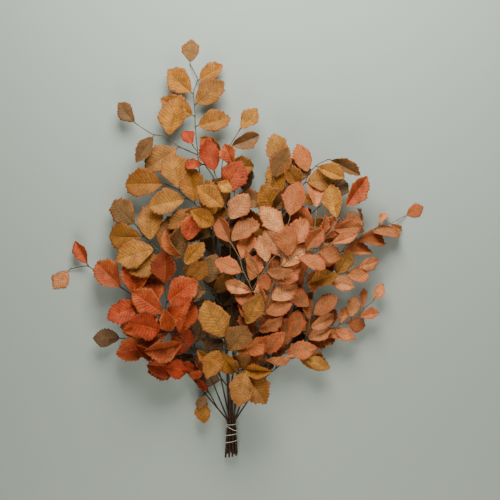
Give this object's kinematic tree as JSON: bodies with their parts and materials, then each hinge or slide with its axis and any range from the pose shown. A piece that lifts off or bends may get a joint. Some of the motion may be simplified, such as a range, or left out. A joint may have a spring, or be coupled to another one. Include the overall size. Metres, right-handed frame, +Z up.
{
  "type": "tied bunch of beech branches",
  "caption": "Bunch of cut, dried beech branches with ochre, rust and salmon autumn leaves, tied at the bare stems and lying on its back.",
  "frame": {"origin": "middle of the underside of the bounding box, on the surface that the bunch lies on", "axes": "+Y along the stems from the cut ends to the tip of the tall branch, +X to the right seen from above, +Z up, away from the surface"},
  "size_m": [0.6266, 0.7054, 0.1162],
  "materials": {
    "ochre_leaves": "satin dried leaf",
    "rust_leaves": "satin dried leaf",
    "salmon_leaves": "satin dried leaf",
    "brown_leaves": "matte dried leaf",
    "cord": "matte thin cord"
  },
  "bodies": {
    "root": {"salmon_stem_centre": "salmon_leaves", "salmon_stem_right": "salmon_leaves", "salmon_stem_low_right": "salmon_leaves", "rust_stem_centre": "rust_leaves", "rust_stem_left": "rust_leaves", "rust_stem_low_left": "rust_leaves", "ochre_stem_centre": "ochre_leaves", "ochre_stem_left": "ochre_leaves", "ochre_stem_upper_left": "ochre_leaves", "ochre_stem_tall": "ochre_leaves", "ochre_stem_upper_right": "ochre_leaves", "brown_stem_back": "brown_leaves", "tie": "cord"}
  },
  "joints": []
}
